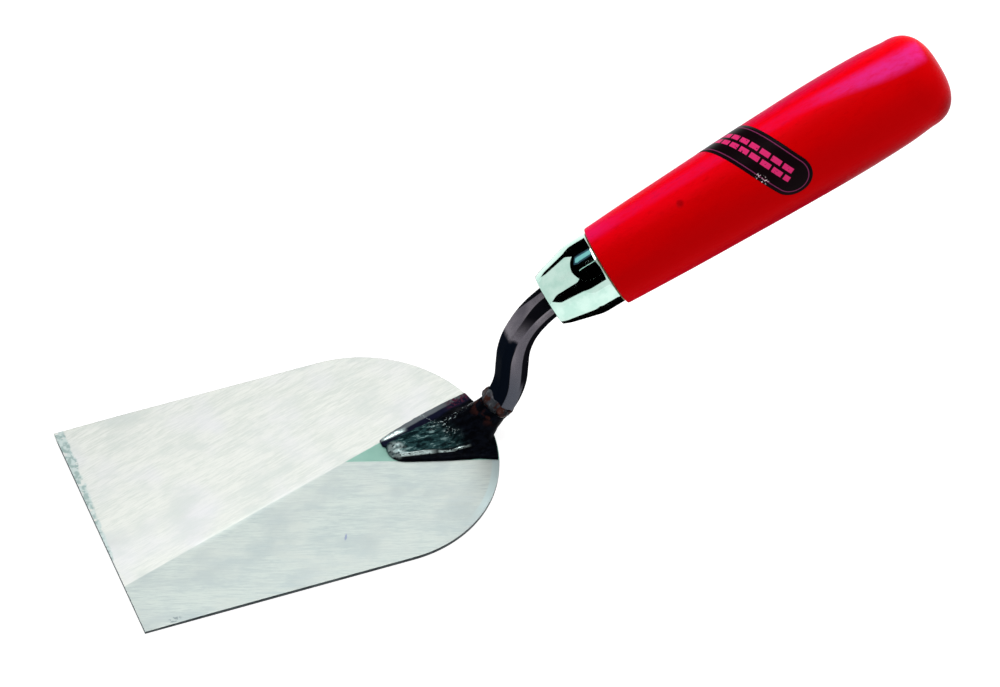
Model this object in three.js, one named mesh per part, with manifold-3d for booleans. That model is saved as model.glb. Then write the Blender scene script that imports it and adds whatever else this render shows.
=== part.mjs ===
// Brick trowel in millimetres. +Z is up, and +X runs from the blade's front edge to the butt of the handle.
// The blade's underside lies on Z = 0, and the finished group is centred over the origin.
import * as THREE from 'three';
import { ConvexGeometry } from 'three/addons/geometries/ConvexGeometry.js';
import { mergeVertices } from 'three/addons/utils/BufferGeometryUtils.js';
import Module from 'manifold-3d';

// ---- Driving dimensions ----

const GAP = 0.3; // clearance between neighbouring pieces

const BLADE = { length: 140, width: 90, thickness: 1.5, edgeThickness: 1.1, groundLength: 30 };
const BLADE_HALF = BLADE.width / 2; // also the radius of the blade's round rear
const BLADE_CENTRE_X = BLADE.length - BLADE_HALF; // centre of that round rear

// The foot's flange and tongue: half widths at the front tip and at the rear.
const FLANGE = { tipX: 101.8, tipRound: 2, leftTip: 5.6, leftRear: 15.5, rightTip: 4.4, rightRear: 15 };
const FLANGE_WAIST = { x: 124, y: -10.9 }; // where the right edge starts to flare out
const FLANGE_BOW = { x: 119.7, y: 12.1 }; // the left edge bends out towards this point
const FLANGE_THICKNESS = 1.0;
const FLANGE_INSET = 0.6; // how far the flange stays inside the blade's rear rim
const TONGUE = { tipX: 103.2, tipHalf: 3.6, rearX: 135, rearHalf: 9.2, height: 1.4, round: 0.6 };
const ROOT = { frontX: 123, rearX: 139.6, halfWidth: 7 }; // the neck's flared root on the tongue

// The goose neck, as a path in the X-Z plane: a lower bend, an upright stretch and an upper bend.
const NECK = { size: 9.9, chamfer: 2.3, uprightX: 146.2, uprightFrom: 26.4, uprightTo: 35 };
const LOWER_BEND = { radius: 28, turn: THREE.MathUtils.degToRad(32) };
const UPPER_BEND_RADIUS = 29;
const TANG = { tipAlong: 50, tipScale: 0.35 }; // the hidden spike, measured along the handle's axis

// The handle's axis passes through HANDLE_ORIGIN; "along" is measured from there towards the butt.
const HANDLE_TILT = THREE.MathUtils.degToRad(26.72);
const HANDLE_ORIGIN = { x: 177.8, z: 68.84 };
const HANDLE = { from: -0.4, shoulderFrom: 116, to: 128.5, shoulderPower: 2.6 };
const BARREL = [ // [along, radius] of the turned barrel
  [HANDLE.from + 0.9, 14.45], [20, 15.45], [45, 16.4], [70, 17.2], [90, 17.55], [107, 17.2],
  [HANDLE.shoulderFrom, 16.4],
];
const HANDLE_EDGE = 13.75; // radius of the handle's front face, inside its rounded edge

const FERRULE = { front: -22.4, coneTo: -8.6, rear: -0.7, frontRadius: 9.6, radius: 13.05, wall: 0.9 };
const TENON_FRONT = FERRULE.front + 1.2; // the tenon's front face, just inside the ferrule's rim
const BORE_MOUTH = { radius: 6.6, throat: 6.05, throatAlong: -17.5 };

const LABEL = { length: 60, width: 14.5, thickness: 0.2 };
const LABEL_START = { along: 68.3, angle: THREE.MathUtils.degToRad(57.2) }; // centre of its first round end
const LABEL_TILT = THREE.MathUtils.degToRad(24.9); // from a plain ring round the handle

const WELD = { thickness: 2.6, bulge: 1 };

// ---- Materials ----

function finish(color, roughness, metalness) {
  return new THREE.MeshStandardMaterial({ color, roughness, metalness });
}

const MATERIALS = {
  blade: finish(0xc9ccc8, 0.4, 1),
  foot: finish(0x11181c, 0.3, 0.4),
  weld_bead: finish(0x4a2a20, 0.5, 0.8),
  neck: finish(0x3a363b, 0.35, 0.9),
  ferrule: finish(0xd9e2df, 0.06, 1),
  handle: finish(0xd20010, 0.25, 0),
  label: finish(0x100c0e, 0.35, 0),
};

// ---- Solids ----

const wasm = await Module();
wasm.setup();

function toSolid(geometry) {
  const bare = geometry.clone();
  bare.deleteAttribute('normal');
  bare.deleteAttribute('uv');
  const merged = mergeVertices(bare, 1e-4);
  return new wasm.Manifold(new wasm.Mesh({
    numProp: 3,
    vertProperties: new Float32Array(merged.attributes.position.array),
    triVerts: new Uint32Array(merged.index.array),
  }));
}

function fromSolid(solid) {
  const mesh = solid.getMesh();
  const geometry = new THREE.BufferGeometry();
  geometry.setAttribute('position', new THREE.BufferAttribute(mesh.vertProperties, 3));
  geometry.setIndex(new THREE.BufferAttribute(mesh.triVerts, 1));
  geometry.computeVertexNormals();
  return geometry;
}

// A closed solid through rings of equal point count, capped flat at both ends.
function loft(rings) {
  const count = rings[0].length;
  const positions = rings.flat().flatMap((point) => point.toArray());
  const index = [];
  for (let i = 0; i + 1 < rings.length; i += 1) {
    for (let k = 0; k < count; k += 1) {
      const here = i * count + k;
      const next = i * count + ((k + 1) % count);
      index.push(here, next, here + count);
      index.push(next, next + count, here + count);
    }
  }
  const last = (rings.length - 1) * count;
  for (let k = 1; k + 1 < count; k += 1) {
    index.push(0, k + 1, k);
    index.push(last, last + k, last + k + 1);
  }
  const geometry = new THREE.BufferGeometry();
  geometry.setAttribute('position', new THREE.Float32BufferAttribute(positions, 3));
  geometry.setIndex(index);
  geometry.computeVertexNormals();
  return geometry;
}

// A flat outline in X-Y, standing from z up by depth.
function plate(outline, z, depth, options = {}) {
  const geometry = new THREE.ExtrudeGeometry(outline, {
    depth, bevelEnabled: false, curveSegments: 24, ...options,
  });
  return geometry.translate(0, 0, z);
}

// A solid turned about the handle's axis from [along, radius] points.
function turned(profile, segments = 48) {
  const points = profile.map(([along, radius]) => new THREE.Vector2(radius, along));
  return new THREE.LatheGeometry(points, segments);
}

// ---- Blade ----

function bladeGeometry() {
  const outline = new THREE.Shape();
  outline.moveTo(0, -BLADE_HALF);
  outline.lineTo(BLADE_CENTRE_X, -BLADE_HALF);
  outline.absarc(BLADE_CENTRE_X, 0, BLADE_HALF, -Math.PI / 2, Math.PI / 2, false);
  outline.lineTo(0, BLADE_HALF);
  outline.closePath();
  const sheet = toSolid(plate(outline, 0, BLADE.thickness, { curveSegments: 48 }));

  // The top is ground down towards the front edge.
  const slope = Math.atan2(BLADE.thickness - BLADE.edgeThickness, BLADE.groundLength);
  const grinder = new THREE.BoxGeometry(2 * BLADE.groundLength, 2 * BLADE.width, 10);
  grinder.translate(-BLADE.groundLength, 0, 5);
  grinder.rotateY(-slope);
  grinder.translate(BLADE.groundLength, 0, BLADE.thickness);
  return fromSolid(sheet.subtract(toSolid(grinder)));
}

// ---- Foot ----

const FOOT_BASE_Z = BLADE.thickness + GAP;
const TONGUE_BASE_Z = FOOT_BASE_Z + FLANGE_THICKNESS;

function flangeOutline() {
  const rim = BLADE_HALF - FLANGE_INSET;
  const rightAngle = Math.asin(-FLANGE.rightRear / rim);
  const leftAngle = Math.asin(FLANGE.leftRear / rim);
  const outline = new THREE.Shape();
  outline.moveTo(FLANGE.tipX, -FLANGE.rightTip + FLANGE.tipRound);
  outline.quadraticCurveTo(FLANGE.tipX, -FLANGE.rightTip, FLANGE.tipX + FLANGE.tipRound, -FLANGE.rightTip);
  outline.quadraticCurveTo(
    FLANGE_WAIST.x - 8, FLANGE_WAIST.y + 1.3,
    FLANGE_WAIST.x, FLANGE_WAIST.y,
  );
  outline.lineTo(BLADE_CENTRE_X + rim * Math.cos(rightAngle), rim * Math.sin(rightAngle));
  outline.absarc(BLADE_CENTRE_X, 0, rim, rightAngle, leftAngle, false);
  outline.quadraticCurveTo(FLANGE_BOW.x, FLANGE_BOW.y, FLANGE.tipX + FLANGE.tipRound, FLANGE.leftTip);
  outline.quadraticCurveTo(FLANGE.tipX, FLANGE.leftTip, FLANGE.tipX, FLANGE.leftTip - FLANGE.tipRound);
  outline.closePath();
  return outline;
}

function tongueOutline() {
  const { tipX, tipHalf, rearX, rearHalf } = TONGUE;
  const outline = new THREE.Shape();
  outline.moveTo(tipX + tipHalf, -tipHalf);
  outline.lineTo(rearX, -rearHalf);
  outline.lineTo(rearX, rearHalf);
  outline.lineTo(tipX + tipHalf, tipHalf);
  outline.absarc(tipX + tipHalf, 0, tipHalf, Math.PI / 2, (3 * Math.PI) / 2, false);
  return outline;
}

// The root flares from an oval on the tongue up to the round seat that the neck is welded to.
function rootGeometry(seat) {
  const centreX = (ROOT.frontX + ROOT.rearX) / 2;
  const halfLength = (ROOT.rearX - ROOT.frontX) / 2;
  const oval = new THREE.EllipseCurve(centreX, 0, halfLength, ROOT.halfWidth);
  const rings = [FOOT_BASE_Z, TONGUE_BASE_Z + TONGUE.height].map((z) => (
    oval.getPoints(32).map((point) => new THREE.Vector3(point.x, point.y, z))
  ));
  return new ConvexGeometry([...rings.flat(), ...seat]);
}

function footGeometry(seat) {
  const { round } = TONGUE;
  const flange = plate(flangeOutline(), FOOT_BASE_Z, FLANGE_THICKNESS);
  // The tongue's rounded top edge is a bevel; its lower bevel is sunk into the flange.
  const tongue = plate(tongueOutline(), FOOT_BASE_Z + round + 0.1, TONGUE.height + FLANGE_THICKNESS - 2 * round - 0.1, {
    bevelEnabled: true, bevelThickness: round, bevelSize: round, bevelOffset: -round, bevelSegments: 3,
  });
  return fromSolid(toSolid(flange).add(toSolid(tongue)).add(toSolid(rootGeometry(seat))));
}

// ---- Neck ----

const AXIS = new THREE.Vector2(Math.cos(HANDLE_TILT), Math.sin(HANDLE_TILT));

function alongHandle(along) {
  return new THREE.Vector2(HANDLE_ORIGIN.x + along * AXIS.x, HANDLE_ORIGIN.z + along * AXIS.y);
}

// The neck's centreline in X-Z, from the weld to the start of the tang.
function neckPath() {
  const path = new THREE.Path();
  const upperTurn = Math.PI / 2 - HANDLE_TILT;
  path.absarc(NECK.uprightX - LOWER_BEND.radius, NECK.uprightFrom, LOWER_BEND.radius, -LOWER_BEND.turn, 0, false);
  path.lineTo(NECK.uprightX, NECK.uprightTo);
  path.absarc(NECK.uprightX + UPPER_BEND_RADIUS, NECK.uprightTo, UPPER_BEND_RADIUS, Math.PI, Math.PI - upperTurn, true);
  return path;
}

// A chamfered square section standing square to the centreline at one point.
function neckSection(point, tangent, scale = 1) {
  const half = (NECK.size / 2) * scale;
  const flat = half - NECK.chamfer * scale;
  const corners = [
    [half, -flat], [half, flat], [flat, half], [-flat, half],
    [-half, flat], [-half, -flat], [-flat, -half], [flat, -half],
  ];
  return corners.map(([side, front]) => new THREE.Vector3(
    point.x - tangent.y * front,
    side,
    point.y + tangent.x * front,
  ));
}

function neckGeometry(path) {
  const rings = [];
  const steps = 44;
  for (let i = 0; i <= steps; i += 1) {
    rings.push(neckSection(path.getPointAt(i / steps), path.getTangentAt(i / steps)));
  }
  rings.push(neckSection(alongHandle(TANG.tipAlong), AXIS, TANG.tipScale));
  return loft(rings);
}

// A circle of points round the neck's lower end, offset back along the centreline.
function neckSeat(path, radius, offset) {
  const tangent = path.getTangentAt(0);
  const centre = path.getPointAt(0).addScaledVector(tangent, offset);
  const points = [];
  const count = 32;
  for (let k = 0; k < count; k += 1) {
    const angle = (2 * Math.PI * k) / count;
    const front = radius * Math.sin(angle);
    points.push(new THREE.Vector3(
      centre.x - tangent.y * front,
      radius * Math.cos(angle),
      centre.y + tangent.x * front,
    ));
  }
  return points;
}

// ---- Weld bead ----

function weldGeometry() {
  const inner = neckCornerRadius(1) + GAP;
  const { thickness, bulge } = WELD;
  const profile = [[0, inner], [0, inner + 0.8 * bulge], [0.45 * thickness, inner + bulge]];
  profile.push([0.85 * thickness, inner + 0.6 * bulge], [thickness, inner], [0, inner]);
  return turned(profile, 32);
}

function neckCornerRadius(scale) {
  const half = NECK.size / 2;
  return Math.hypot(half, half - NECK.chamfer) * scale;
}

// ---- Ferrule and handle ----

function ferruleGeometry() {
  const { front, coneTo, rear, frontRadius, radius, wall } = FERRULE;
  return turned([
    [front, frontRadius - wall],
    [front, frontRadius - 0.4],
    [front + 0.4, frontRadius],
    [coneTo - 1, radius - 0.3],
    [coneTo + 1, radius],
    [rear - 0.3, radius],
    [rear, radius - 0.3],
    [rear, radius - wall],
    [coneTo, radius - wall],
    [front, frontRadius - wall],
  ]);
}

function barrelRadius(along) {
  const spline = new THREE.SplineCurve(BARREL.map(([a, r]) => new THREE.Vector2(a, r)));
  return spline.getPoints(160).find((point) => point.x >= along).y;
}

function handleGeometry() {
  const innerRadius = FERRULE.radius - FERRULE.wall - GAP;
  const frontInner = FERRULE.frontRadius - FERRULE.wall - GAP;
  const taper = (innerRadius - frontInner) / (FERRULE.coneTo - FERRULE.front);
  const profile = [
    [TANG.tipAlong + 1, 0],
    [TANG.tipAlong + 0.5, neckCornerRadius(TANG.tipScale) + GAP],
    [BORE_MOUTH.throatAlong, BORE_MOUTH.throat],
    [TENON_FRONT, BORE_MOUTH.radius],
    [TENON_FRONT, frontInner + taper * (TENON_FRONT - FERRULE.front)],
    [FERRULE.coneTo, innerRadius],
    [HANDLE.from, innerRadius],
    [HANDLE.from, HANDLE_EDGE],
  ];
  const barrel = new THREE.SplineCurve(BARREL.map(([along, radius]) => new THREE.Vector2(along, radius)));
  barrel.getPoints(24).forEach((point) => profile.push([point.x, point.y]));

  // The butt is a flattened dome.
  const shoulderLength = HANDLE.to - HANDLE.shoulderFrom;
  const shoulderRadius = BARREL[BARREL.length - 1][1];
  const steps = 12;
  for (let i = 1; i < steps; i += 1) {
    const angle = (i / steps) * (Math.PI / 2);
    const reach = Math.sin(angle) ** (2 / HANDLE.shoulderPower);
    const spread = Math.cos(angle) ** (2 / HANDLE.shoulderPower);
    profile.push([HANDLE.shoulderFrom + shoulderLength * reach, shoulderRadius * spread]);
  }
  profile.push([HANDLE.to, 0]);
  return turned(profile);
}

// ---- Label ----

// A thin pill-shaped film laid round the handle, built across its width from one round end to the other.
function labelGeometry() {
  const halfWidth = LABEL.width / 2;
  const run = LABEL.length - LABEL.width;
  const stations = 44;
  const across = 6;
  const rings = [];
  for (let i = 0; i <= stations; i += 1) {
    const travel = -halfWidth * 0.995 + (run + LABEL.width * 0.995) * (i / stations);
    const beyond = Math.max(-travel, travel - run, 0);
    const half = Math.sqrt(halfWidth ** 2 - beyond ** 2);
    const outer = [];
    const inner = [];
    for (let k = 0; k <= across; k += 1) {
      const offset = half * ((2 * k) / across - 1);
      outer.push(labelPoint(travel, offset, GAP + LABEL.thickness));
      inner.unshift(labelPoint(travel, offset, GAP));
    }
    rings.push([...outer, ...inner]);
  }
  return loft(rings);
}

// A point on the label in the handle's own frame: X along the axis, Z to the top of the handle.
function labelPoint(travel, offset, lift) {
  const along = LABEL_START.along - travel * Math.sin(LABEL_TILT) + offset * Math.cos(LABEL_TILT);
  const radius = barrelRadius(along);
  const middleRadius = barrelRadius(LABEL_START.along);
  const roundabout = travel * Math.cos(LABEL_TILT) + offset * Math.sin(LABEL_TILT);
  const angle = LABEL_START.angle - roundabout / middleRadius;
  return new THREE.Vector3(along, -(radius + lift) * Math.sin(angle), (radius + lift) * Math.cos(angle));
}

// ---- Assembly ----

const trowel = new THREE.Group();

function addPiece(name, geometry, parent = trowel) {
  const mesh = new THREE.Mesh(geometry, MATERIALS[name]);
  mesh.name = name;
  parent.add(mesh);
  return mesh;
}

const path = neckPath();
addPiece('blade', bladeGeometry());
addPiece('foot', footGeometry(neckSeat(path, neckCornerRadius(1) + GAP + 0.8 * WELD.bulge, -GAP)));
addPiece('neck', neckGeometry(path));

// The weld bead circles the neck's lower end, its axis along the neck there.
const weldFrame = new THREE.Group();
const weldStart = path.getPointAt(0);
const weldTangent = path.getTangentAt(0);
weldFrame.position.set(weldStart.x, 0, weldStart.y);
weldFrame.rotation.y = -Math.atan2(weldTangent.y, weldTangent.x);
trowel.add(weldFrame);
addPiece('weld_bead', weldGeometry(), weldFrame).rotation.z = -Math.PI / 2;

// In the handle's frame +X is "along", so the turned pieces lie over from +Y to +X.
const handleFrame = new THREE.Group();
handleFrame.position.set(HANDLE_ORIGIN.x, 0, HANDLE_ORIGIN.z);
handleFrame.rotation.y = -HANDLE_TILT;
trowel.add(handleFrame);
addPiece('ferrule', ferruleGeometry(), handleFrame).rotation.z = -Math.PI / 2;
addPiece('handle', handleGeometry(), handleFrame).rotation.z = -Math.PI / 2;
addPiece('label', labelGeometry(), handleFrame);

trowel.updateMatrixWorld(true);
const box = new THREE.Box3().setFromObject(trowel, true);
trowel.position.x = -(box.min.x + box.max.x) / 2;
trowel.position.y = -(box.min.y + box.max.y) / 2;

export default trowel;
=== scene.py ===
"""Brick trowel: the visual model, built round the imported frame. Metres, +Z up, +X from blade to butt."""
import math

import bpy
from mathutils import Matrix, Vector, noise


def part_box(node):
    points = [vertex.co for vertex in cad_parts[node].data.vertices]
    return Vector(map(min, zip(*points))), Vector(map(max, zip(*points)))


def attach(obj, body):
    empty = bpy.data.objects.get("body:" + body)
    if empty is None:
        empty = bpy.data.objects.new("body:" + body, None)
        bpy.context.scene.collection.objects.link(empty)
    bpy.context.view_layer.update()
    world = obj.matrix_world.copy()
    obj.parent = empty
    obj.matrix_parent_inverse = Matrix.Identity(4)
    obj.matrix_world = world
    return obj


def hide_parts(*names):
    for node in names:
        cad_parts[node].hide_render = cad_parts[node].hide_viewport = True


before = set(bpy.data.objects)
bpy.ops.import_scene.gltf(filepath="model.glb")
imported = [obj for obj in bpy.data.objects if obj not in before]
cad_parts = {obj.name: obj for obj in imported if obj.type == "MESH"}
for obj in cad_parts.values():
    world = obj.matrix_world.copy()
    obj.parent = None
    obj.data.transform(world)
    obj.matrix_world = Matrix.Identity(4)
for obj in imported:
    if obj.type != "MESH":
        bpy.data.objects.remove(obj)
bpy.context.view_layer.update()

# ---- Dimensions: millimetres in the tool's own x, y, z, with x = 0 at the blade's front edge ----

MM = 0.001
blade_low, blade_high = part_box("blade")
FRONT_X = blade_low.x
BLADE_LENGTH = (blade_high.x - blade_low.x) / MM
BLADE_HALF = (blade_high.y - blade_low.y) / 2 / MM
BLADE_THICKNESS = (blade_high.z - blade_low.z) / MM
BLADE_CENTRE_X = BLADE_LENGTH - BLADE_HALF
EDGE_THICKNESS = 1.1
GROUND_LENGTH = 30  # the blade's top thins towards the front over this length

# The ground facets meet at the apex, just ahead of the foot. Directions are in degrees from +X.
APEX = Vector((88.0, 0.9, 0))
LEFT_FACET_ANGLE = 16.3
RIGHT_FACET_ANGLE = -18.0
FACET_DROP = 0.0030  # depth of a facet for each millimetre from its line
FACET_DROP_LIMIT = 0.06

# The middles of a scratch and of a patch of nicks on the blade's top.
SCRATCH = (76.5, -29.5, 1.4)
NICKS = (11.0, -43.4, 1.4)

# The neck's centreline in X-Z: a lower bend, an upright stretch and an upper bend.
NECK_SIZE = 9.9
NECK_CHAMFER = 2.3
UPRIGHT_X = 146.2
UPRIGHT_FROM = 26.4
UPRIGHT_TO = 35.0
LOWER_BEND_RADIUS = 28
LOWER_BEND_TURN = math.radians(32)
UPPER_BEND_RADIUS = 29
TANG_TIP_ALONG = 50
TANG_TIP_SCALE = 0.35

# The handle's axis. "Along" is measured on it from HANDLE_ORIGIN towards the butt.
HANDLE_TILT = math.radians(26.72)
HANDLE_ORIGIN = Vector((177.8, 0, 68.84))
HANDLE_AXIS = Vector((math.cos(HANDLE_TILT), 0, math.sin(HANDLE_TILT)))
HANDLE_UP = Vector((-math.sin(HANDLE_TILT), 0, math.cos(HANDLE_TILT)))
HANDLE_FROM = -0.4
SHOULDER_FROM = 116
HANDLE_TO = 128.5
SHOULDER_POWER = 2.6
BARREL = [  # (along, radius) of the turned barrel
    (0.5, 14.45), (20, 15.45), (45, 16.4), (70, 17.2), (90, 17.55), (107, 17.2), (SHOULDER_FROM, 16.4)]

FERRULE_FRONT = -22.4
FERRULE_CONE_TO = -8.6
FERRULE_REAR = -0.7
FERRULE_FRONT_RADIUS = 9.6
FERRULE_RADIUS = 13.05
FERRULE_WALL = 0.9

LABEL_LENGTH = 60
LABEL_WIDTH = 14.5
LABEL_ALONG = 68.3
LABEL_ANGLE = math.radians(57.2)
LABEL_TILT = math.radians(24.9)
LABEL_CHIPS = (7.5, -6.2)  # travel and offset on the label


def tool(point):
    """The frame's metres for a point in the tool's millimetres."""
    return Vector((FRONT_X + point[0] * MM, point[1] * MM, point[2] * MM))


def on_handle(along, angle, radius):
    """A point at a radius from the handle's axis; angle 0 is its top, and it grows towards -Y."""
    outward = HANDLE_UP * math.cos(angle) + Vector((0, -1, 0)) * math.sin(angle)
    return HANDLE_ORIGIN + HANDLE_AXIS * along + outward * radius


DENT = on_handle(32.2, math.radians(17.9), 15.9)


# ---- Mesh helpers ----

TURNED_SEGMENTS = 128


def new_object(name, vertices, faces, *materials):
    """An object from points in the frame's metres."""
    mesh = bpy.data.meshes.new(name)
    mesh.from_pydata(vertices, [], faces)
    mesh.update()
    for material in materials:
        mesh.materials.append(material)
    obj = bpy.data.objects.new(name, mesh)
    bpy.context.collection.objects.link(obj)
    return obj


def make_piece(name, vertices, faces, *materials):
    """A smooth-shaded object from points in the tool's millimetres."""
    piece = new_object(name, [tool(v) for v in vertices], faces, *materials)
    piece.data.polygons.foreach_set("use_smooth", [True] * len(piece.data.polygons))
    return piece


def around(count):
    """Angles in equal steps round a full turn."""
    return [2 * math.pi * k / count for k in range(count)]


def loft(rings, closed=False):
    """Vertices and faces of a skin through rings of equal count, capped flat or joined end to end."""
    count = len(rings[0])
    vertices = [v for ring in rings for v in ring]
    faces = []
    spans = len(rings) if closed else len(rings) - 1
    for i in range(spans):
        j = (i + 1) % len(rings)
        for k in range(count):
            n = (k + 1) % count
            faces.append((i * count + k, i * count + n, j * count + n, j * count + k))
    if not closed:
        faces.append(tuple(reversed(range(count))))
        faces.append(tuple(range((len(rings) - 1) * count, len(rings) * count)))
    return vertices, faces


def turned(profile):
    """A skin turned about the handle's axis from (along, radius) points; the profile closes on itself."""
    rings = []
    for angle in around(TURNED_SEGMENTS):
        rings.append([on_handle(along, angle, radius) for along, radius in profile])
    return loft(rings, closed=True)


def grid_faces(rows, columns):
    """Faces over a grid of points that are listed row by row."""
    firsts = [j * (columns + 1) + k for j in range(rows) for k in range(columns)]
    return [(n, n + 1, n + columns + 2, n + columns + 1) for n in firsts]


def bowed(start, middle, end, steps):
    """Points on a curve that leaves start towards middle, the end included but not the start."""
    points = []
    for i in range(1, steps + 1):
        t = i / steps
        points.append(tuple((1 - t) ** 2 * a + 2 * t * (1 - t) * b + t * t * c
                            for a, b, c in zip(start, middle, end)))
    return points


def rough(place, *waves):
    """Noise at a place, summed over (frequency, height) waves."""
    return sum(height * noise.noise(place * frequency) for frequency, height in waves)


def spline(points, x):
    """Catmull-Rom height at x through (x, y) points."""
    for i in range(len(points) - 1):
        if x <= points[i + 1][0] or i == len(points) - 2:
            break
    (x1, y1), (x2, y2) = points[i], points[i + 1]
    x0, y0 = points[i - 1] if i else (2 * x1 - x2, 2 * y1 - y2)
    x3, y3 = points[i + 2] if i + 2 < len(points) else (2 * x2 - x1, 2 * y2 - y1)
    t = (x - x1) / (x2 - x1)
    m1 = (y2 - y0) / (x2 - x0) * (x2 - x1)
    m2 = (y3 - y1) / (x3 - x1) * (x2 - x1)
    return (
        (2 * t**3 - 3 * t**2 + 1) * y1 + (t**3 - 2 * t**2 + t) * m1
        + (3 * t**2 - 2 * t**3) * y2 + (t**3 - t**2) * m2
    )


def smoothstep(low, high, value):
    t = min(max((value - low) / (high - low), 0.0), 1.0)
    return t * t * (3 - 2 * t)


# ---- Materials ----


class Shader:
    """A material being built round its Principled BSDF, with positions in the tool's millimetres."""

    def __init__(self, name, **settings):
        self.material = bpy.data.materials.new(name)
        self.material.use_nodes = True
        self.tree = self.material.node_tree
        self.bsdf = self.tree.nodes["Principled BSDF"]
        for name_with_underscores, value in settings.items():
            self.bsdf.inputs[name_with_underscores.replace("_", " ")].default_value = value

    def node(self, kind, inputs=(), **settings):
        """A new node, with its inputs fed from pairs of a socket's name or number and a value."""
        made = self.tree.nodes.new(kind)
        for key, value in settings.items():
            setattr(made, key, value)
        for socket, value in inputs:
            self.feed(made.inputs[socket], value)
        return made

    def feed(self, socket, value):
        if isinstance(value, bpy.types.NodeSocket):
            self.tree.links.new(value, socket)
        else:
            socket.default_value = value

    def uv(self, name):
        return self.node("ShaderNodeUVMap", uv_map=name).outputs[0]

    def position(self):
        """The shaded point in the tool's millimetres."""
        coords = self.node("ShaderNodeTexCoord").outputs["Object"]
        return self.scaled(self.offset(coords, (FRONT_X, 0, 0)), (1 / MM, 1 / MM, 1 / MM))

    def vector(self, operation, a, b):
        made = self.node("ShaderNodeVectorMath", ((0, a), (1, b)), operation=operation)
        return made.outputs["Value" if operation in ("DOT_PRODUCT", "LENGTH") else "Vector"]

    def math(self, operation, a, b=0.0):
        return self.node("ShaderNodeMath", ((0, a), (1, b)), operation=operation).outputs[0]

    def add(self, a, b):
        return self.math("ADD", a, b)

    def subtract(self, a, b):
        return self.math("SUBTRACT", a, b)

    def size(self, value):
        return self.math("ABSOLUTE", value)

    def product(self, first, *others):
        for other in others:
            first = self.math("MULTIPLY", first, other)
        return first

    def highest(self, first, *others):
        for other in others:
            first = self.math("MAXIMUM", first, other)
        return first

    def split(self, vector):
        """A vector's x, y and z."""
        return self.node("ShaderNodeSeparateXYZ", ((0, vector),)).outputs

    def dot(self, vector, axis):
        return self.vector("DOT_PRODUCT", vector, axis)

    def length(self, vector):
        return self.vector("LENGTH", vector, (0, 0, 0))

    def offset(self, point, origin):
        return self.vector("SUBTRACT", point, tuple(origin))

    def scaled(self, point, scale):
        return self.vector("MULTIPLY", point, scale)

    def distance(self, point, origin, angle):
        """Signed distance to the left of a line through origin, at an angle in degrees from +X."""
        direction = math.radians(angle)
        return self.dot(self.offset(point, origin), (-math.sin(direction), math.cos(direction), 0))

    def rotated(self, point, angle, axis):
        """The point turned by an angle in radians about the X, Y or Z axis."""
        inputs = ("Vector", point), ("Angle", angle)
        return self.node("ShaderNodeVectorRotate", inputs, rotation_type=axis + "_AXIS").outputs[0]

    def stretched(self, point, angle, scale):
        """The point turned back by an angle in degrees about Z, then scaled on each axis."""
        return self.scaled(self.rotated(point, -math.radians(angle), "Z"), scale)

    def noise(self, point, scale=1.0, detail=2.0, roughness=0.5):
        inputs = ("Vector", point), ("Scale", scale), ("Detail", detail), ("Roughness", roughness)
        return self.node("ShaderNodeTexNoise", inputs).outputs["Fac"]

    def span(self, value, low, high, to_low=0.0, to_high=1.0):
        """Value mapped smoothly from low..high to to_low..to_high."""
        inputs = (("Value", value), ("From Min", low), ("From Max", high),
                  ("To Min", to_low), ("To Max", to_high))
        return self.node("ShaderNodeMapRange", inputs, interpolation_type="SMOOTHSTEP").outputs[0]

    def mix(self, factor, a, b, data_type="RGBA"):
        a, b = [(*value, 1) if isinstance(value, tuple) else value for value in (a, b)]
        inputs = ("Factor", factor), ("A", a), ("B", b)
        return self.node("ShaderNodeMix", inputs, data_type=data_type).outputs["Result"]

    def bump(self, height, strength, distance_mm, after=None):
        inputs = [("Height", height), ("Strength", strength), ("Distance", distance_mm * MM)]
        if after is not None:
            inputs.append(("Normal", after))
        return self.node("ShaderNodeBump", inputs).outputs[0]

    def finish(self, color=None, roughness=None, metallic=None, normal=None):
        for name, value in (("Base Color", color), ("Roughness", roughness),
                            ("Metallic", metallic), ("Normal", normal)):
            if value is not None:
                self.feed(self.bsdf.inputs[name], value)
        return self.material


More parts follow.
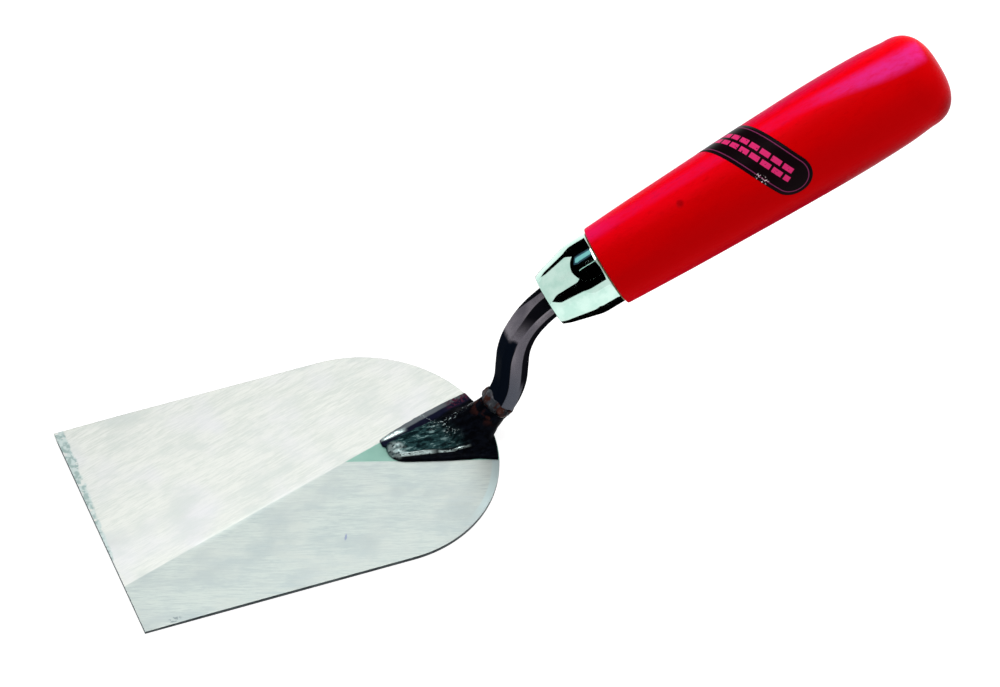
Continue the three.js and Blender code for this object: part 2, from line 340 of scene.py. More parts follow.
def ground_steel(name, faceted):
    """Brushed steel; on the blade's top, two facets brushed in two directions meet at a green wedge, the
    right facet painted darker as painted shade.
    """
    s = Shader(name)
    point = s.position()
    back, across, _ = s.split(point)
    left = s.distance(point, APEX, LEFT_FACET_ANGLE)
    right = s.distance(point, APEX, RIGHT_FACET_ANGLE)
    cloud = s.noise(point, scale=0.045, detail=3)
    blotch = s.noise(s.stretched(point, 8, (0.05, 0.08, 0.05)), detail=5, roughness=0.6)

    def brushed(angle):
        coarse = s.noise(s.stretched(point, angle, (0.05, 0.5, 0.4)), detail=3)
        fine = s.noise(s.stretched(point, angle, (0.2, 1.9, 1.0)), detail=4, roughness=0.7)
        return s.add(s.product(coarse, 0.35), s.product(fine, 0.65))

    def facet_color(streaks, dark, light, clouds, blotches):
        """Clouds and blotches are each a low and high noise, a strength and a colour."""
        color = s.mix(s.span(streaks, 0.36, 0.62), dark, light)
        for pattern, (low, high, strength, tint) in ((cloud, clouds), (blotch, blotches)):
            color = s.mix(s.span(pattern, low, high, 0, strength), color, tint)
        return color

    left_streaks = brushed(LEFT_FACET_ANGLE)
    left_color = facet_color(left_streaks, (0.41, 0.435, 0.41), (0.545, 0.56, 0.53),
                             (0.45, 0.72, 0.5, (0.51, 0.51, 0.545)),
                             (0.48, 0.66, 0.5, (0.39, 0.425, 0.41)))
    if not faceted:
        normal = s.bump(left_streaks, 0.25, 0.05)
        return s.finish(left_color, s.span(left_streaks, 0.3, 0.7, 0.34, 0.5), 1.0, normal)

    # The right facet is the same steel as the left, painted darker as painted shade for the way it catches
    # the light.
    right_streaks = brushed(RIGHT_FACET_ANGLE)
    shaded_right_color = facet_color(right_streaks, (0.275, 0.32, 0.315), (0.415, 0.46, 0.435),
                              (0.4, 0.7, 0.4, (0.385, 0.41, 0.39)),
                              (0.46, 0.66, 0.5, (0.27, 0.315, 0.32)))
    on_left = s.span(left, -0.25, 0.25)
    color = s.mix(on_left, shaded_right_color, left_color)
    streaks = s.mix(on_left, right_streaks, left_streaks, "FLOAT")

    # Dull mottled wear along the front edge, widest at the left corner.
    ragged = s.product(s.subtract(s.noise(point, scale=0.35, detail=4), 0.5), 3.2)
    reach = s.add(s.span(across, -34, 44, -0.1, 3.5), ragged)
    worn = s.product(s.span(s.subtract(reach, back), -0.2, 0.6),
                     s.span(s.noise(point, scale=0.42, detail=3), 0.38, 0.46))
    mottle = s.noise(point, scale=0.6, detail=2)
    worn_color = s.mix(s.span(mottle, 0.42, 0.6), (0.21, 0.29, 0.28), (0.38, 0.45, 0.44))
    color = s.mix(s.product(worn, 0.9), color, worn_color)

    # A short blue scratch on the right facet.
    scratch = s.length(s.stretched(s.offset(point, SCRATCH), 60, (0.45, 1.6, 0)))
    color = s.mix(s.span(scratch, 0.9, 0.3, 0, 0.7), color, (0.12, 0.14, 0.27))

    # A few dark nicks near the front right corner.
    nick = s.length(s.scaled(s.offset(point, NICKS), (0.5, 1, 0)))
    nick = s.product(s.span(nick, 1.5, 0.7), s.span(s.noise(point, scale=0.9, detail=3), 0.5, 0.56))
    color = s.mix(nick, color, (0.16, 0.19, 0.2))

    # The rim behind the right facet was missed by the grinder.
    from_centre = s.length(s.scaled(s.offset(point, (BLADE_CENTRE_X, 0, 0)), (1, 1, 0)))
    rim = s.product(s.span(from_centre, 42.1, 42.8), s.span(across, -12, -15), s.span(back, 116, 128))
    color = s.mix(s.product(rim, 0.8), color, (0.36, 0.445, 0.45))

    # The wedge between the facets keeps its pale green lacquer.
    lacquer = s.product(s.span(left, 0.15, -0.15), s.span(right, -0.15, 0.15))
    lacquer_color = s.mix(s.noise(point, scale=0.2, detail=3), (0.18, 0.395, 0.32), (0.27, 0.51, 0.43))
    color = s.mix(lacquer, color, lacquer_color)
    roughness = s.span(streaks, 0.3, 0.7, 0.36, 0.52)
    return s.finish(color, roughness, s.subtract(1.0, lacquer), s.bump(streaks, 0.22, 0.05))


def edge_steel():
    """The blade's sheared edges, dark and mottled, but painted pale on the left as painted light, so that
    the floor beside that edge takes no dark line.
    """
    s = Shader("blade_edge", Metallic=1.0)
    point = s.position()
    mottle = s.noise(s.stretched(point, 0, (0.3, 0.3, 2.5)), detail=3)
    color = s.mix(s.span(mottle, 0.35, 0.7), (0.010, 0.014, 0.018), (0.07, 0.085, 0.09))
    # Painted light: the left edge is pale so that the floor beside it shows no dark line.
    color = s.mix(s.span(s.split(point)[1], 40, 44), color, (0.66, 0.69, 0.66))
    return s.finish(color, s.span(mottle, 0.3, 0.7, 0.35, 0.55), normal=s.bump(mottle, 0.2, 0.05))


def black_lacquer():
    """Glossy black lacquer over a forging, with a painted teal reflection on the tongue's top and painted
    highlights of pale metal along its edges.
    """
    tongue_tip, weld_place = (105.2, -1.2, 3.6), (140.0, 0, 12.0)
    s = Shader("foot_lacquer", IOR=1.04)
    point = s.position()
    back, across, height = s.split(point)
    cloud = s.noise(s.stretched(point, -4, (0.3, 0.8, 0.4)), detail=5, roughness=0.65)
    grain = s.noise(point, scale=1.5, detail=4, roughness=0.6)
    ragged = s.noise(point, scale=0.8, detail=4, roughness=0.65)

    def stroke(origin, angle, width, first, last, cutoff):
        """A ragged painted highlight on the top, between two places in X, where cutoff is the noise it
        needs to show.
        """
        off = s.size(s.distance(point, (*origin, 0), angle))
        return s.product(s.span(off, width, width * 0.35), s.span(back, first - 1, first + 1),
                         s.span(back, last + 2, last - 2), s.span(ragged, cutoff - 0.06, cutoff + 0.06))

    # Painted reflection on the tongue's flat top: teal with cloudy pale patches, in place of the bright
    # room it would mirror.
    half = s.add(s.product(s.subtract(back, 103.0), 0.19), 3.2)
    inside = s.span(s.subtract(half, s.size(s.subtract(across, 0.3))), -0.4, 0.9)
    thin = s.product(inside, s.span(s.add(back, s.product(across, 0.4)), 128, 118))
    color = s.mix(s.span(cloud, 0.42, 0.62), (0.0012, 0.0015, 0.0025), (0.003, 0.004, 0.007))
    teal = s.mix(s.span(cloud, 0.42, 0.55), (0.002, 0.008, 0.010), (0.018, 0.052, 0.055))
    teal = s.mix(s.span(cloud, 0.56, 0.66), teal, (0.17, 0.27, 0.27))
    color = s.mix(thin, color, teal)

    # The left flange has painted shade in violet in the crease beside the tongue, a painted highlight in
    # grey along its outer edge, and pink at its rear end.
    outer = s.distance(point, (103.0, 6.3, 0), 15.8)
    crease_shade = s.product(s.span(outer, -4.6, -3.4), s.span(outer, -1.2, -1.8))
    color = s.mix(crease_shade, color, (0.006, 0.007, 0.020))
    lit_flange_band = s.product(s.span(outer, -2.1, -1.4), s.span(back, 152, 118), 0.85)
    color = s.mix(lit_flange_band, color, (0.15, 0.17, 0.185))
    pink = s.product(s.span(outer, -4.0, -2.8), s.span(back, 127, 132), s.span(ragged, 0.44, 0.56))
    color = s.mix(pink, color, (0.06, 0.014, 0.03))

    # Painted highlights, drawn as pale bare metal: along the tongue's right edge, on its domed tip and on
    # the flange's front corner.
    crest_highlight = stroke((106, -3.7), -11.0, 0.62, 105, 117, 0.42)
    crest_end_highlight = stroke((106, -3.9), -11.0, 0.42, 119, 128, 0.44)
    tip = s.product(s.span(s.length(s.offset(point, tongue_tip)), 4.2, 1.6, 0.0, 0.6),
                    s.span(ragged, 0.36, 0.60))
    corner = stroke((104, 5.4), 10, 1.1, 103.0, 111, 0.30)
    painted_highlight = s.highest(crest_highlight, crest_end_highlight, tip, corner)
    color = s.mix(painted_highlight, color, (0.50, 0.62, 0.61))

    # Specks of weld spatter, painted pale as glints, where the painted reflection on the top ends and
    # along the root's left side.
    seam = s.size(s.subtract(s.add(back, s.product(across, 0.55)), 124.5))
    seam = s.product(s.span(seam, 1.8, 0.6), s.span(across, -5, -1))
    crack = s.size(s.distance(point, (123.4, 3.6, 0), 4))
    crack = s.product(s.span(crack, 2.0, 0.7), s.span(back, 117, 121), s.span(back, 137, 133))
    speck_glint = s.span(s.noise(point, scale=1.0, detail=3, roughness=0.7), 0.58, 0.64)
    color = s.mix(s.product(speck_glint, s.highest(seam, crack)), color, (0.34, 0.42, 0.42))

    # Heat tint near the weld.
    near_weld = s.span(s.length(s.offset(point, weld_place)), 8.5, 5.5)
    tint = s.product(near_weld, s.span(s.noise(point, scale=0.3), 0.50, 0.62), s.span(height, 7, 10))
    color = s.mix(tint, color, (0.024, 0.008, 0.007))
    roughness = s.span(grain, 0.3, 0.7, 0.12, 0.28)
    return s.finish(color, roughness, s.product(painted_highlight, 0.8), s.bump(grain, 0.3, 0.15))


def weld_metal():
    """Weld metal in black and brown, blue-grey towards its upper rim, with pale painted highlights in
    patches.
    """
    s = Shader("weld", Metallic=0.45, IOR=1.15)
    point = s.position()
    tint = s.noise(point, scale=0.3, detail=2)
    color = s.mix(s.span(tint, 0.40, 0.54), (0.003, 0.003, 0.005), (0.040, 0.011, 0.007))
    rim_height = s.add(s.split(point)[2], s.span(tint, 0.3, 0.7, 2.5, -2.5))
    color = s.mix(s.span(rim_height, 15.0, 17.5, 0, 0.8), color, (0.055, 0.060, 0.070))
    # Painted highlights in pale grey patches.
    highlight_patch = s.noise(point, scale=0.5, detail=3)
    color = s.mix(s.span(highlight_patch, 0.56, 0.70, 0, 0.5), color, (0.15, 0.165, 0.17))
    grain = s.noise(point, scale=0.9, detail=4)
    return s.finish(color, s.span(grain, 0.3, 0.7, 0.28, 0.5), normal=s.bump(grain, 0.5, 0.3))


def neck_steel():
    """Dark scaled steel with a purple cast; the foot's lacquer runs up its front to the upper bend, and
    there and on the chamfers the black is also painted dark reflection and shade.
    """
    flat_edge = 0.262  # where the chamfer starts, as a share of the bar's size from its middle
    s = Shader("neck_scale", IOR=1.015)
    point = s.position()
    height = s.split(point)[2]
    side, front, _ = s.split(s.uv("bar"))
    cloud = s.noise(s.stretched(point, 0, (0.12, 0.12, 0.05)), detail=3)
    grain = s.noise(point, scale=1.2, detail=4, roughness=0.6)
    ragged = s.product(s.subtract(s.noise(point, scale=0.3, detail=3), 0.5), 3.6)
    # The foot's lacquer up the front; its black also stands in for the dark reflection the front face
    # shows.
    lacquer = s.product(s.span(front, 0.27, 0.31), s.span(s.add(height, ragged), 48, 45.5))

    # Painted black: on the chamfers, widening onto the front under the ferrule, as painted shade and dark
    # reflection; and in a band at the rear.
    edge = s.add(s.size(side), s.span(height, 53, 62, 0, 0.14))
    chamfer = s.product(s.span(edge, flat_edge, 0.28), s.span(s.size(front), flat_edge, 0.28))
    blackened = s.highest(s.span(height, 47, 57), s.span(height, 46, 42), s.span(front, 0.0, -0.1))
    rear = s.span(s.add(front, s.span(height, 36, 52, 0.14, 0.04)), 0.02, -0.02)
    lasting = s.highest(s.span(height, 20, 27), s.span(front, -0.26, -0.29))
    blackened = s.highest(s.product(chamfer, blackened), s.product(rear, lasting))

    color = s.mix(s.span(cloud, 0.35, 0.65), (0.09, 0.083, 0.10), (0.165, 0.15, 0.17))
    color = s.mix(s.span(height, 42, 18, 0, 0.85), color, (0.046, 0.054, 0.072))
    color = s.mix(blackened, color, (0.004, 0.004, 0.006))
    color = s.mix(lacquer, color, (0.003, 0.005, 0.010))
    metallic = s.span(s.highest(lacquer, blackened), 0.0, 1.0, 0.95, 0.0)
    return s.finish(color, s.span(grain, 0.3, 0.7, 0.2, 0.34), metallic, s.bump(grain, 0.18, 0.12))


def chrome():
    """Bright chrome with faint haze."""
    s = Shader("ferrule_chrome", Metallic=1.0)
    haze = s.noise(s.position(), scale=0.25, detail=4)
    color = s.mix(s.span(haze, 0.35, 0.65), (0.47, 0.695, 0.61), (0.57, 0.77, 0.69))
    return s.finish(color, s.span(haze, 0.4, 0.75, 0.03, 0.09), normal=s.bump(haze, 0.05, 0.1))


def red_lacquer():
    """Thick red lacquer over turned wood, painted lighter on top and darker low down, with a painted pink
    sheen along the top and a painted pink highlight towards the butt.
    """
    s = Shader("handle_lacquer", IOR=1.045, Sheen_Weight=0.12, Sheen_Roughness=0.3,
               Sheen_Tint=(1.0, 0.03, 0.4, 1))
    point = s.position()
    lying = s.rotated(s.offset(point, HANDLE_ORIGIN), HANDLE_TILT, "Y")
    along = s.split(lying)[0]

    # Height towards the handle's upper left side, which carries the painted light and the painted pink
    # sheen.
    high = s.dot(lying, (0, 0.8, 0.6))
    figure = s.noise(s.scaled(lying, (0.03, 0.14, 0.14)), detail=4)
    mottle = s.noise(s.scaled(lying, (0.25, 0.6, 0.6)), detail=4, roughness=0.7)
    level = s.add(high, s.product(s.subtract(figure, 0.5), 9))
    # Painted light: lighter towards the top, darker below.
    color = s.mix(s.span(level, -7, 2), (0.485, 0.0, 0.001), (0.55, 0.0, 0.001))
    color = s.mix(s.span(level, 1, 13), color, (0.82, 0.0, 0.006))
    # Painted pink sheen along the top edge and near the ferrule.
    color = s.mix(s.span(high, 13.5, 17), color, (0.58, 0.002, 0.05))
    front_sheen = s.product(s.span(along, 16, 2), s.span(high, 8, 12, 0, 0.4))
    color = s.mix(front_sheen, color, (0.74, 0.008, 0.12))
    color = s.mix(s.span(mottle, 0.5, 0.68, 0, 0.3), color, (0.44, 0.0, 0.001))
    # Painted shade along the low side, spreading at the butt.
    shaded_low_side = s.subtract(high, s.span(along, 116, 127, 0, 5))
    color = s.mix(s.span(shaded_low_side, -12.5, -19.0, 0, 0.85), color, (0.19, 0.0, 0.002))

    # The painted pink highlight widens from the label to the butt, on the right side only.
    middle = s.span(along, 78, 124, 11.5, 7.5)
    width = s.span(along, 80, 124, 2.6, 5.2)
    off = s.math("DIVIDE", s.size(s.subtract(high, middle)), width)
    on_right = s.span(s.dot(lying, (0, -0.6, 0.8)), 2, 8)
    pink_highlight = s.product(s.span(off, 1.0, 0.25), on_right, s.span(along, 76, 114, 0.15, 0.9),
                      s.span(along, 127, 125), s.span(mottle, 0.3, 0.6, 0.55, 1.0))
    color = s.mix(pink_highlight, color, (0.72, 0.022, 0.22))

    # One small dent.
    dent = s.length(s.offset(point, DENT))
    color = s.mix(s.span(dent, 1.9, 0.5, 0, 0.6), color, (0.22, 0.0, 0.002))
    ripple = s.noise(s.scaled(lying, (0.05, 0.1, 0.1)), detail=2)
    pores = s.noise(s.scaled(lying, (0.25, 1.6, 1.6)), detail=3)
    normal = s.bump(pores, 0.05, 0.1, s.bump(ripple, 0.25, 1.0))
    normal = s.bump(s.span(dent, 0.4, 1.5), 0.5, 0.3, normal)
    return s.finish(color, s.span(pores, 0.3, 0.7, 0.24, 0.34), 0.0, normal)


def bare_wood():
    """The unpainted end grain of the tenon, seen inside the ferrule's mouth."""
    s = Shader("tenon_wood", Roughness=0.7)
    grain = s.noise(s.scaled(s.position(), (0.3, 2.2, 2.2)), detail=4)
    color = s.mix(s.span(grain, 0.3, 0.7), (0.38, 0.21, 0.10), (0.58, 0.38, 0.21))
    return s.finish(color, normal=s.bump(grain, 0.3, 0.1))


# ---- Blade ----


def facet_depth(x, y):
    """How far the grinder went below the sheet's top at a point."""
    def left_of(angle):
        turn = math.radians(angle)
        return (y - APEX.y) * math.cos(turn) - (x - APEX.x) * math.sin(turn)

    left, right = left_of(LEFT_FACET_ANGLE), -left_of(RIGHT_FACET_ANGLE)
    left_depth, right_depth = [min(max(off, 0) * FACET_DROP, FACET_DROP_LIMIT) for off in (left, right)]
    share = smoothstep(-1.2, 0.8, left)
    return share * left_depth + (1 - share) * right_depth


def blade_top(x, y):
    taper = max(0.0, 1 - x / GROUND_LENGTH) * (BLADE_THICKNESS - EDGE_THICKNESS)
    return BLADE_THICKNESS - max(taper, facet_depth(x, y))


def blade_loop(inset, height):
    """The blade's outline moved inwards, from the front right corner round to the front left one."""
    half = BLADE_HALF - inset
    points = [(inset + (BLADE_CENTRE_X - inset) * i / 64, -half) for i in range(64)]
    for i in range(97):
        angle = math.pi * (i / 96 - 0.5)
        points.append((BLADE_CENTRE_X + half * math.cos(angle), half * math.sin(angle)))
    points += [(BLADE_CENTRE_X - (BLADE_CENTRE_X - inset) * i / 64, half) for i in range(1, 65)]
    points += [(inset, half - 2 * half * i / 48) for i in range(1, 48)]
    return [(x, y, height(x, y)) for x, y in points]


def make_blade():
    """A skin of loops, from the underside's middle out to the rounded edge and in to the top's middle."""
    round_edge, round_middle = 0.08, 0.025
    inmost = BLADE_HALF - 0.2
    loops = [blade_loop(inset, lambda x, y: 0.0) for inset in (inmost, 20, 5, 2 * round_edge, round_edge)]
    loops.append(blade_loop(round_middle, lambda x, y: round_middle))
    loops.append(blade_loop(0, lambda x, y: round_edge))
    first_edge = len(loops) - 1
    loops.append(blade_loop(0, lambda x, y: blade_top(x, y) - round_edge))
    loops.append(blade_loop(round_middle, lambda x, y: blade_top(x, y) - round_middle))
    first_top = len(loops) - 1
    loops.append(blade_loop(round_edge, blade_top))
    steps = 56
    for i in range(steps + 1):
        inset = 2 * round_edge + (inmost - 2 * round_edge) * i / steps
        loops.append(blade_loop(inset, blade_top))
    blade = make_piece("blade_steel", *loft(loops), ground_steel("blade_ground", True), edge_steel(),
                       ground_steel("blade_underside", False))
    count = len(loops[0])
    for polygon in blade.data.polygons[:-2]:
        loop = polygon.index // count
        polygon.material_index = 0 if loop >= first_top else 1 if loop >= first_edge - 1 else 2
    blade.data.polygons[-2].material_index = 2
    return blade


# ---- Neck ----


def bend_station(z, radius, turn):
    """A point and tangent on a bend that meets the upright at z; a negative radius bends it to +X."""
    point = Vector((UPRIGHT_X - radius * (1 - math.cos(turn)), 0, z + radius * math.sin(turn)))
    return point, Vector((-math.sin(turn), 0, math.cos(turn)))


def neck_stations():
    """Points and tangents up the neck's centreline, from the weld to the start of the tang."""
    lower_steps, straight_steps, upper_steps = 16, 6, 32
    stations = []
    for i in range(lower_steps):
        turn = -LOWER_BEND_TURN * (1 - i / lower_steps)
        stations.append(bend_station(UPRIGHT_FROM, LOWER_BEND_RADIUS, turn))
    for i in range(straight_steps):
        z = UPRIGHT_FROM + (UPRIGHT_TO - UPRIGHT_FROM) * i / straight_steps
        stations.append((Vector((UPRIGHT_X, 0, z)), Vector((0, 0, 1))))
    for i in range(upper_steps + 1):
        turn = -(math.pi / 2 - HANDLE_TILT) * i / upper_steps
        stations.append(bend_station(UPRIGHT_TO, -UPPER_BEND_RADIUS, turn))
    return stations


def bar_corners(scale):
    """The chamfered square's outline with softened corners, as (side, front) offsets."""
    half = NECK_SIZE / 2 * scale
    flat = half - NECK_CHAMFER * scale
    corners = [Vector(c) for c in ((half, -flat), (half, flat), (flat, half), (-flat, half),
                                   (-half, flat), (-half, -flat), (-flat, -half), (flat, -half))]
    outline = []
    for i, corner in enumerate(corners):
        before = (corners[i - 1] - corner).normalized()
        after = (corners[(i + 1) % 8] - corner).normalized()
        soft = 0.45 * scale
        outline += [corner + before * soft * 2, corner + before * soft]
        outline.append(corner + (before + after) * soft * 0.24)
        outline += [corner + after * soft, corner + after * soft * 2]
    return outline


def bar_section(point, tangent, scale=1.0):
    """The bar's outline, square to the centreline."""
    front_axis = Vector((-tangent.z, 0, tangent.x))
    return [point + Vector((0, side, 0)) + front_axis * front for side, front in bar_corners(scale)]


def make_neck():
    stations = neck_stations()
    rings = [bar_section(point, tangent) for point, tangent in stations]
    tang_from = (stations[-1][0] - HANDLE_ORIGIN).dot(HANDLE_AXIS)
    for i in range(1, 13):
        share = i / 12
        along = tang_from + (TANG_TIP_ALONG - tang_from) * share
        centre = HANDLE_ORIGIN + HANDLE_AXIS * along
        rings.append(bar_section(centre, HANDLE_AXIS, 1 - (1 - TANG_TIP_SCALE) * share))
    vertices, faces = loft(rings)
    hammered = []
    for vertex in vertices:
        wave = rough(vertex, (0.12, 0.12), (0.4, 0.05))
        hammered.append(vertex + Vector((0, math.copysign(wave, vertex.y), 0)))
    neck = make_piece("neck_bar", hammered, faces, neck_steel())
    outline = bar_corners(1.0)
    layer = neck.data.uv_layers.new(name="bar")
    for loop in neck.data.loops:
        side, front = outline[loop.vertex_index % len(outline)]
        layer.data[loop.index].uv = (side / NECK_SIZE, front / NECK_SIZE)
    return neck


# ---- Foot ----

FOOT_Z = BLADE_THICKNESS - 0.02
FLANGE_TOP = BLADE_THICKNESS + 1.15
# (x, half width) along the tongue.
TONGUE_EDGES = ((103.1, 1.6), (103.5, 2.4), (104.4, 3.2), (106, 3.9), (110, 4.7), (114, 5.5),
                (118, 6.1), (122, 6.7), (126, 7.4), (130, 8.3), (136, 9.4))
# The flange's outline in X-Y: round its tip and along its right edge, and its left front corner.
FLANGE_RIGHT = ((102.1, 3.0), (102.9, 2.2), (102.7, 0.8), (102.7, -0.8), (103.0, -2.2), (103.7, -3.5),
                (104.7, -4.5), (106.0, -5.3), (107.6, -5.95), (109.6, -6.6), (111.8, -7.3), (116, -8.6),
                (122.8, -10.6), (131.3, -12.8))
FLANGE_LEFT = ((103.6, 6.4), (102.0, 5.6))
FLANGE_BOW = (119.7, 12.4)  # the left edge bends out towards this point
FLANGE_CORNERS = (-15.2, 15.7)  # where the flange meets the blade's rear rim
# Lines along the foot's top, from front to rear.
RIDGE = ((106, -3.7), (131, -8.6))
GROOVE = ((104, 4.2), (134, 9.9))


def level_skin(outline, levels):
    """A closed solid through an outline at (height, inset) levels; the insets narrow it in Y."""
    rings = []
    for height, inset in levels:
        ring = []
        for x, y in outline:
            keep = max(0.0, 1 - inset / max(abs(y), 1e-6))
            ring.append(Vector((x + inset * 0.5 * smoothstep(106, 102, x), y * keep, height)))
        rings.append(ring)
    return loft(rings)


def resampled(corners, spacing):
    points = []
    for i, (x, y) in enumerate(corners):
        nx, ny = corners[(i + 1) % len(corners)]
        pieces = max(1, round(math.hypot(nx - x, ny - y) / spacing))
        points += [(x + (nx - x) * j / pieces, y + (ny - y) * j / pieces) for j in range(pieces)]
    return points


def flange_outline():
    rim = BLADE_HALF - 0.3
    right, left = [math.asin(y / rim) for y in FLANGE_CORNERS]
    rear = []
    for i in range(25):
        angle = right + (left - right) * i / 24
        rear.append((BLADE_CENTRE_X + rim * math.cos(angle), rim * math.sin(angle)))
    return [*FLANGE_RIGHT, *rear, *bowed(rear[-1], FLANGE_BOW, FLANGE_LEFT[0], 12), *FLANGE_LEFT[1:]]


def tongue_top(x):
    """Height of the tongue's top: domed at the tip, then rising gently towards the root."""
    dome = 1.3 * math.sqrt(min(max((x - 102.9) / 3.2, 0.0), 1.0))
    return 2.75 + dome + 0.035 * max(x - 106, 0)


def tongue_ring(x, half):
    """A section across the tongue, standing on the blade, with firm edges and a slightly hollow top."""
    ring = []
    top = tongue_top(x)
    for angle in around(36):
        across, up = math.cos(angle), math.sin(angle)
        share = math.copysign(abs(across) ** 0.5, across)
        rise = (top - FOOT_Z) * abs(up) ** 0.38 if up > 0 else 0
        hollow = 0.3 * smoothstep(104, 110, x) * (1 - share ** 4) if up > 0 else 0
        ring.append(Vector((x, 0.15 + half * share, FOOT_Z + rise - hollow)))
    return ring


def root_ring(share):
    """A section of the root that sweeps from a long oval on the blade up to the neck's lower end."""
    neck_point, neck_tangent = neck_stations()[0]
    end_half = NECK_SIZE / 2 + 0.35
    centre = Vector((129.6, 0, FOOT_Z)).lerp(neck_point, share)
    half_length = 10.0 + (end_half - 10.0) * share ** 0.8
    half_width = end_half + 7.0 * (1 - share) ** 2.3
    lean = math.atan2(neck_tangent.x, neck_tangent.z) * share
    length_axis = Vector((math.cos(lean), 0, -math.sin(lean)))
    ring = []
    for angle in around(48):
        ring.append(centre + length_axis * (half_length * math.cos(angle))
                    + Vector((0, half_width * math.sin(angle), 0)))
    return ring


def along_line(place, start, end):
    """How far a place lies along a line in X-Y, as a share of it, and how far to its left."""
    run = Vector((end[0] - start[0], end[1] - start[1]))
    offset = Vector((place.x - start[0], place.y - start[1]))
    return offset.dot(run) / run.length_squared, (run.x * offset.y - run.y * offset.x) / run.length


def make_foot():
    outline = resampled(flange_outline(), 0.8)
    levels = ((FOOT_Z, 0), (FLANGE_TOP - 0.5, 0.1), (FLANGE_TOP - 0.15, 0.35), (FLANGE_TOP, 0.9))
    skins = (level_skin(outline, levels), loft([tongue_ring(x, half) for x, half in TONGUE_EDGES]),
             loft([root_ring(i / 20) for i in range(21)]))
    vertices, faces = [], []
    for skin_vertices, skin_faces in skins:
        base = len(vertices)
        vertices += skin_vertices
        faces += [tuple(base + i for i in face) for face in skin_faces]
    foot = make_piece("foot_forging", vertices, faces)
    fused = foot.modifiers.new("fuse", "REMESH")
    fused.mode = "VOXEL"
    fused.voxel_size = 0.25 * MM
    soft = foot.modifiers.new("soften", "SMOOTH")
    soft.iterations = 4
    soft.factor = 0.5
    apply_modifiers(foot)
    normals = [vertex.normal.copy() for vertex in foot.data.vertices]
    for vertex, normal in zip(foot.data.vertices, normals):
        place = vertex.co / MM - Vector((FRONT_X / MM, 0, 0))
        push = rough(place, (0.4, 0.16), (1.1, 0.08))
        share, left = along_line(place, *RIDGE)
        if -0.05 < share < 1.0:
            push += 0.22 * math.exp(-(left / 0.5) ** 2)
        share, left = along_line(place, *GROOVE)
        if share > 0:
            push -= 0.25 * math.exp(-(left / 0.45) ** 2) * smoothstep(1.1, 0.9, share)
        # Weld spatter in a band that crosses the foot on a slant.
        off_band = abs(place.x + 0.55 * place.y - 124.5)
        spatter = max(0.0, noise.noise(place * 0.9 + Vector((9, 4, 1))) - 0.12)
        push += 0.5 * smoothstep(4.5, 0.5, off_band) * spatter
        above = smoothstep(BLADE_THICKNESS + 0.4, BLADE_THICKNESS + 1.2, place.z)
        vertex.co += normal * push * above * MM
        vertex.co.z = max(vertex.co.z, BLADE_THICKNESS * MM - 0.03 * MM)
    foot.data.polygons.foreach_set("use_smooth", [True] * len(foot.data.polygons))
    foot.data.materials.append(black_lacquer())
    return foot


def apply_modifiers(obj):
    graph = bpy.context.evaluated_depsgraph_get()
    made = bpy.data.meshes.new_from_object(obj.evaluated_get(graph))
    obj.modifiers.clear()
    obj.data = made


# ---- Weld bead ----


def make_weld():
    """Lumps of weld metal laid round the neck's lower end: fullest in front, almost flush behind."""
    point, tangent = neck_stations()[0]
    front_axis = Vector((-tangent.z, 0, tangent.x))
    rings = []
    for angle in around(128):
        outward = Vector((0, math.cos(angle), 0)) + front_axis * math.sin(angle)
        front, rear = max(0.0, math.sin(angle)), max(0.0, -math.sin(angle))
        lump = 1 + 0.22 * math.sin(8 * angle + 0.7) + 0.7 * noise.noise(outward * 2.1) + 0.6 * front
        lump *= 1 - 0.7 * rear
        shift = 1.5 * front + 0.7 * noise.noise(outward * 1.7 + Vector((5, 0, 0)))
        ring = []
        for turn in around(20):
            out = NECK_SIZE / 2 + 0.1 + min(0.85 * lump, 1.5) * math.cos(turn)
            up = 0.7 + shift + (1.6 + 1.2 * front) * math.sin(turn)
            place = point + outward * out + tangent * up
            ring.append(place + outward * rough(place, (0.55, 0.4), (1.1, 0.2)))
        rings.append(ring)
    return make_piece("weld_lumps", *loft(rings, closed=True), weld_metal())


# ---- Ferrule and handle ----


def make_ferrule():
    front, wall = FERRULE_FRONT, FERRULE_WALL
    lip, blend = 0.45, 1.6
    cone_from, cone_to, sleeve_from = front + lip, FERRULE_CONE_TO - blend, FERRULE_CONE_TO + blend
    slope = (FERRULE_RADIUS - FERRULE_FRONT_RADIUS) / (FERRULE_CONE_TO - cone_from)
    dip = 0.36  # the cone curves in by this much towards its front edge

    def cone_radius(along):
        inward = dip * max(0.0, 1 - (along - cone_from) / 3.4) ** 2
        return FERRULE_FRONT_RADIUS + slope * (along - cone_from) - inward

    lip_radius = cone_radius(cone_from)
    profile = [(cone_from, lip_radius - wall)]
    for i in range(1, 12):
        angle = math.radians(155) * i / 12
        radius = lip_radius - wall / 2 * (1 + math.cos(angle))
        profile.append((cone_from - lip * math.sin(angle), radius))
    for i in range(25):
        along = cone_from + (cone_to - cone_from) * i / 24
        profile.append((along, cone_radius(along)))
    profile += bowed((cone_to, FERRULE_RADIUS - blend * slope), (FERRULE_CONE_TO, FERRULE_RADIUS),
                     (sleeve_from, FERRULE_RADIUS), 8)
    for i in range(1, 9):
        profile.append((sleeve_from + (FERRULE_REAR - 0.2 - sleeve_from) * i / 8, FERRULE_RADIUS))
    profile += [(FERRULE_REAR, FERRULE_RADIUS - 0.2), (FERRULE_REAR, FERRULE_RADIUS - wall),
                (FERRULE_CONE_TO, FERRULE_RADIUS - wall)]
    return make_piece("ferrule_sleeve", *turned(profile), chrome())


def barrel_radius(along):
    if along <= SHOULDER_FROM:
        return spline(BARREL, along)
    reach = min((along - SHOULDER_FROM) / (HANDLE_TO - SHOULDER_FROM), 1.0)
    return BARREL[-1][1] * (1 - reach ** SHOULDER_POWER) ** (1 / SHOULDER_POWER)


def wood_dip(point):
    """How far the uneven wood lies under the barrel's true surface."""
    return 0.10 + 0.10 * noise.noise(point * 0.035)


